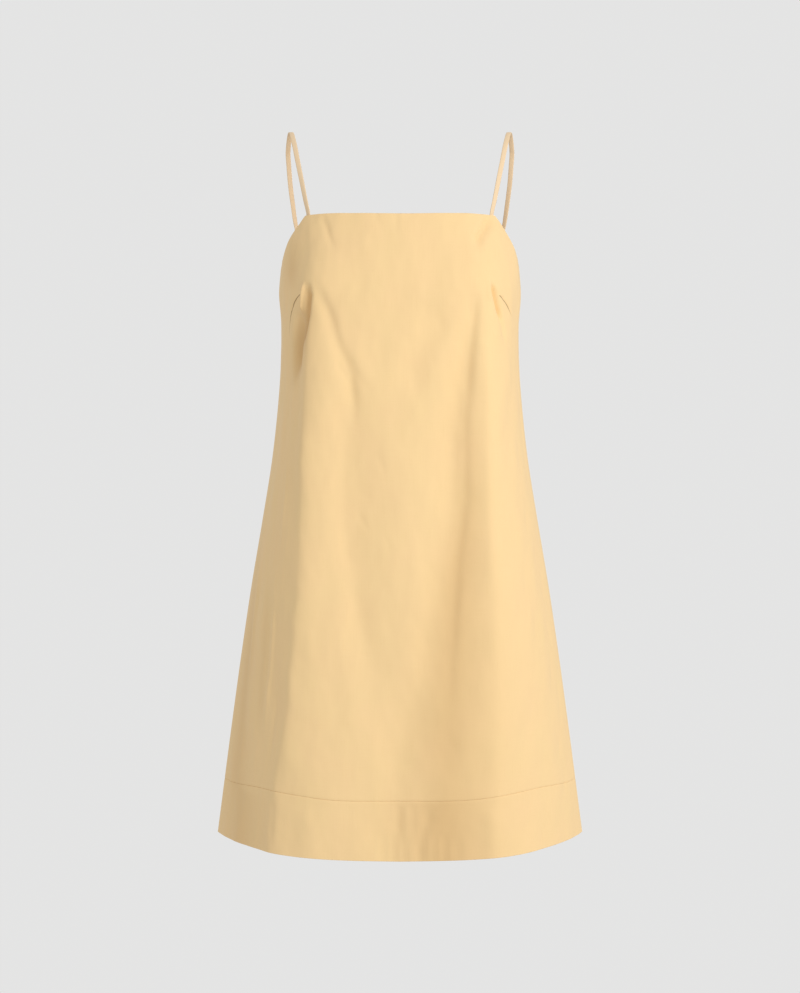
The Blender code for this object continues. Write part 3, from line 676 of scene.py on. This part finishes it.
def woven_cotton(name, tones, dart_seams=()):
    """Plain woven cotton with slubs, a little uneven in colour and dull. It has three tones, and takes
    painted shade where the mesh's deep mark says and painted shadows along the dart seams.
    """
    cotton = Finish(name)
    along, down = cotton.mark("along"), cotton.mark("down")
    warp_slubs = cotton.spots(along * (1 / SLUB_WIDTH), down * (1 / WARP_SLUB_LENGTH))
    weft_slubs = cotton.spots(along * (1 / WEFT_SLUB_LENGTH), down * (1 / SLUB_WIDTH))
    slubs = warp_slubs * WARP_SHARE + weft_slubs * WEFT_SHARE
    threads = (along * (math.pi / THREAD_ALONG)).sine() * (down * (math.pi / THREAD_DOWN)).sine()
    clouds = cotton.spots(along * (1 / CLOUD_ALONG), down * (1 / CLOUD_DOWN), CLOUD_DETAIL)
    peach, straw, deep = tones
    plain = cotton.blend(clouds, peach, straw)
    woven = cotton.blend((slubs - 0.5) * SLUB_TONE, plain, deep)
    # painted shade: the colour darkens towards the shade tone where the deep mark says
    colour = cotton.blend(cotton.mark("deep") * PAINTED_SHADE_SHARE, woven, PAINTED_SHADE_TONE)
    # painted shadow along the sewn line of each dart
    for points in dart_seams:
        colour = cotton.blend(dart_seam_shadow(along, down, points), colour, DART_SHADOW_TONE)
    cotton.feed(cotton.shader.inputs["Base Color"], colour)
    cotton.feed(cotton.shader.inputs["Roughness"], LEAST_ROUGHNESS + slubs * SLUB_ROUGHNESS)
    height = threads * THREAD_HEIGHT + slubs * SLUB_HEIGHT
    bump = cotton.node("ShaderNodeBump", {},
                       {"Height": height, "Distance": BUMP_REACH, "Strength": BUMP_STRENGTH})
    cotton.feed(cotton.shader.inputs["Normal"], bump)
    cotton.shader.inputs["Sheen Weight"].default_value = 0.12
    cotton.shader.inputs["Sheen Roughness"].default_value = 0.45
    cotton.shader.inputs["Specular IOR Level"].default_value = 0.25
    return cotton.material


def sewn_points(turn, angle):
    """The sewn end of a strap: points just inside the cloth, from the edge down, and its width's angle."""
    drops = float(top_edge(np.array(turn))) + STRAP_SEWN_LENGTH * np.array([0.0, 0.5, 1.0])
    turns = np.full(3, turn)
    points, outward = body_surface(turns, drops)
    points = points + outward * (cup_rise(turns, drops) - STRAP_SEWN_INSET)[:, None]
    return [(*point, angle) for point in points]


def unit(vectors):
    """The vectors at a length of 1."""
    return vectors / np.linalg.norm(vectors, axis=1)[:, None]


def strap_rings():
    """The outline of the wearer's left strap at each step along it, and how far along each step is.

    The outline starts at one edge. With it comes how far each of its points lies across the strap.
    """
    front = sewn_points(STRAP_FRONT_TURN, SEWN_FRONT_ANGLE)
    back = sewn_points(STRAP_BACK_TURN, SEWN_BACK_ANGLE)
    route = np.array(front[::-1] + list(STRAP_ROUTE) + back)
    lengths = np.concatenate([[0.0], np.cumsum(np.linalg.norm(np.diff(route[:, :3], axis=0), axis=1))])
    places = np.linspace(0.0, lengths[-1], STRAP_STEPS)
    x, y, z, angle = smooth_table(np.column_stack([lengths, route]), places)
    spine = np.stack([x, y, z], -1)
    direction = unit(np.gradient(spine, axis=0))
    width = np.stack([np.cos(np.radians(angle)), np.sin(np.radians(angle)), 0.0 * angle], -1)
    width = unit(width - direction * (width * direction).sum(1)[:, None])
    thick = np.cross(direction, width)
    around = np.radians(np.arange(STRAP_SIDES) * 360.0 / STRAP_SIDES)
    flat = np.sign(np.cos(around)) * np.abs(np.cos(around)) ** STRAP_EDGE_POWER * STRAP_WIDTH / 2
    deep = np.sign(np.sin(around)) * np.abs(np.sin(around)) ** STRAP_FACE_POWER * STRAP_THICKNESS / 2
    rings = spine[:, None] + width[:, None] * flat[:, None] + thick[:, None] * deep[:, None]
    return rings, places, flat


def strap(name, side, material):
    """A shoulder strap with closed ends. The side is 1 for the wearer's left, else -1."""
    rings, places, across = strap_rings()
    rings[..., 0] *= side
    number = np.arange(rings[..., 0].size).reshape(rings.shape[:2])
    beside = np.roll(number, -1, axis=1)
    faces = np.stack([number[:-1], number[1:], beside[1:], beside[:-1]], -1).reshape(-1, 4).tolist()
    faces += [number[0][::-1].tolist(), number[-1].tolist()]
    if side > 0:
        faces = [face[::-1] for face in faces]
    marks = {"along": np.tile(across, len(places)), "down": np.repeat(places, len(across)),
             "deep": np.zeros(number.size)}
    mesh = new_mesh(name, rings.reshape(-1, 3).tolist(), faces, marks)
    mesh.set_sharp_from_angle(angle=STRAP_SHARP_ANGLE)
    return show(name, mesh, material)


def dress():
    """Every piece of the dress."""
    cotton = woven_cotton("woven cotton", BUTTER_TONES)
    front_cotton = woven_cotton("woven cotton with darts", BUTTER_TONES, DART_SEAMS)
    strap_cotton = woven_cotton("strap cotton", STRAP_TONES)
    front_turns = spaced(-SIDE_TURN, SIDE_TURN, FRONT_COLUMNS, FRONT_COLUMN_CROWDS)
    back_turns = spaced(SIDE_TURN, 360.0 - SIDE_TURN, BACK_COLUMNS, BACK_COLUMN_CROWDS)
    front_rows = spaced(0.0, 1.0, FRONT_ROWS, (BUST_CROWD,) + PANEL_RIM_CROWDS)
    back_rows = spaced(0.0, 1.0, BACK_ROWS, PANEL_RIM_CROWDS)
    band_rows = spaced(0.0, 1.0, BAND_ROWS, BAND_RIM_CROWDS)

    def panel_bottom(turn):
        return hem_lines(turn)[0] - SEAM_GAP / 2

    def band_top(turn):
        return hem_lines(turn)[0] + SEAM_GAP / 2

    def hem(turn):
        return hem_lines(turn)[1]

    edge, seam = CLOTH_THICKNESS / 2, SEAM_GAP
    front = cloth_piece("front_panel", front_turns, front_rows, top_edge, panel_bottom,
                        FRONT_FOLDS, FRONT_CREASES, FRONT_PAINTED_SHADE, front_cotton, (edge, seam))
    back = cloth_piece("back_panel", back_turns, back_rows, top_edge, panel_bottom,
                       BACK_FOLDS, BACK_CREASES, (), cotton, (edge, seam))
    front_band = cloth_piece("front_hem_band", front_turns, band_rows, band_top, hem,
                             FRONT_FOLDS, BAND_CREASES, FRONT_PAINTED_SHADE, cotton, (seam, edge))
    back_band = cloth_piece("back_hem_band", back_turns, band_rows, band_top, hem,
                            BACK_FOLDS, (), (), cotton, (seam, edge))
    strap("left_strap", 1.0, strap_cotton)
    strap("right_strap", -1.0, strap_cotton)


def camera():
    """The camera at the photograph's place, level and square to the front."""
    data = bpy.data.cameras.new("camera")
    data.lens = CAMERA_LENS
    data.sensor_width = SENSOR_WIDTH
    eye = bpy.data.objects.new("camera", data)
    eye.location = CAMERA_PLACE
    eye.rotation_euler = (math.radians(90.0), 0.0, 0.0)
    bpy.context.scene.collection.objects.link(eye)
    bpy.context.scene.camera = eye


def soft_light(name, azimuth, elevation, power, size):
    """A square soft light, aimed at the middle of the dress. Azimuth 0 is in front, 90 at the right."""
    data = bpy.data.lights.new(name, "AREA")
    data.shape, data.size, data.energy = "SQUARE", size, power
    lamp = bpy.data.objects.new(name, data)
    around, up = math.radians(azimuth), math.radians(elevation)
    away = Vector((math.sin(around) * math.cos(up), -math.cos(around) * math.cos(up), math.sin(up)))
    lamp.location = LIGHT_TARGET + away * LIGHT_DISTANCE
    lamp.rotation_euler = away.to_track_quat("Z", "Y").to_euler()
    bpy.context.scene.collection.objects.link(lamp)


def surroundings():
    """Light that comes evenly from all round, where the camera itself sees a pale tone."""
    world = bpy.data.worlds.new("pale studio")
    world.use_nodes = True
    bpy.context.scene.world = world
    tree = world.node_tree
    surround = tree.nodes["Background"]
    surround.inputs["Color"].default_value = (1.0, 1.0, 1.0, 1.0)
    surround.inputs["Strength"].default_value = SURROUND_STRENGTH
    seen = tree.nodes.new("ShaderNodeBackground")
    seen.inputs["Color"].default_value = PALE
    which = tree.nodes.new("ShaderNodeMixShader")
    path = tree.nodes.new("ShaderNodeLightPath")
    tree.links.new(path.outputs["Is Camera Ray"], which.inputs[0])
    tree.links.new(surround.outputs[0], which.inputs[1])
    tree.links.new(seen.outputs[0], which.inputs[2])
    tree.links.new(which.outputs[0], tree.nodes["World Output"].inputs["Surface"])


def floor():
    """A plain floor of the same pale tone, far below the hem."""
    near, far, level = -FLOOR_REACH, FLOOR_REACH, -FLOOR_DROP
    corners = [(near, near, level), (far, near, level), (far, far, level), (near, far, level)]
    mesh = bpy.data.meshes.new("floor")
    mesh.from_pydata(corners, [], [(0, 1, 2, 3)])
    ground = bpy.data.objects.new("floor", mesh)
    bpy.context.scene.collection.objects.link(ground)
    paper = Finish("pale floor")
    paper.shader.inputs["Base Color"].default_value = (0.0, 0.0, 0.0, 1.0)
    paper.shader.inputs["Specular IOR Level"].default_value = 0.0
    paper.shader.inputs["Emission Color"].default_value = PALE
    paper.shader.inputs["Emission Strength"].default_value = 1.0
    mesh.materials.append(paper.material)
    ground.visible_diffuse = ground.visible_glossy = ground.visible_shadow = False


def studio():
    """Pale surroundings that look even from every side, a plain floor, and soft lights."""
    bpy.context.scene.view_settings.view_transform = "Standard"
    surroundings()
    floor()
    soft_light("key", azimuth=37.0, elevation=15.0, power=31.0, size=1.0)
    soft_light("side", azimuth=95.0, elevation=10.0, power=1.5, size=1.2)


camera()
studio()
dress()
